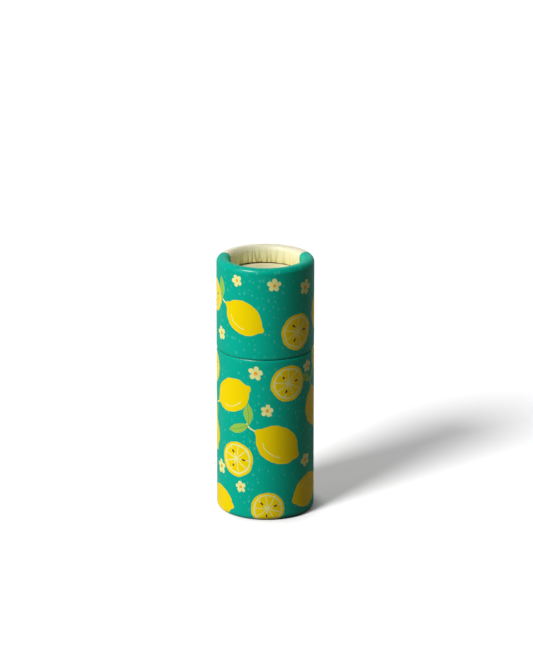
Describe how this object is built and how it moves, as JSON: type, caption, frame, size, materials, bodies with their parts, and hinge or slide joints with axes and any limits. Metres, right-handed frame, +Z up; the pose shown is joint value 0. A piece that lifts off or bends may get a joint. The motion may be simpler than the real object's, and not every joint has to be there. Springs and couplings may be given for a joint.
{
  "type": "lip balm stick",
  "caption": "Push-up lip balm tube of rolled-edge paperboard: a pull-off cap over a neck in which a finger-pushed piston raises the balm.",
  "frame": {"origin": "centre of the base, on the surface that the tube stands on", "axes": "+Z up along the tube's axis towards the cap; -Y faces the camera of the picture; +X to its right"},
  "size_m": [0.024, 0.024, 0.0645],
  "materials": {
    "printed_paper": "satin",
    "cream_paper": "matte",
    "white_paper": "matte",
    "greaseproof_paper": "satin",
    "grey_board": "matte",
    "balm": "satin"
  },
  "bodies": {
    "tube": {"body_tube": "grey_board", "body_wrap": "printed_paper", "neck_tube": "grey_board", "neck_wrap": "white_paper", "neck_liner": "greaseproof_paper"},
    "piston": {"piston_collar": "grey_board", "piston_disc": "grey_board", "push_face": "cream_paper", "piston_facing": "greaseproof_paper", "balm_stick": "balm"},
    "cap": {"cap_tube": "grey_board", "cap_wrap": "printed_paper", "cap_liner": "white_paper", "cap_disc": "grey_board", "cap_disc_facing": "cream_paper", "cap_disc_lining": "greaseproof_paper"}
  },
  "joints": [
    {"name": "cap_pull", "type": "slide", "parent": "tube", "child": "cap", "axis": [0, 0, 1], "range_m": [0, 0.06]},
    {"name": "piston_push", "type": "slide", "parent": "tube", "child": "piston", "axis": [0, 0, 1], "range_m": [0, 0.0414]}
  ],
  "couplings": [
    {"joint": "piston_push", "follows": "cap_pull", "ratio": 0.69}
  ]
}
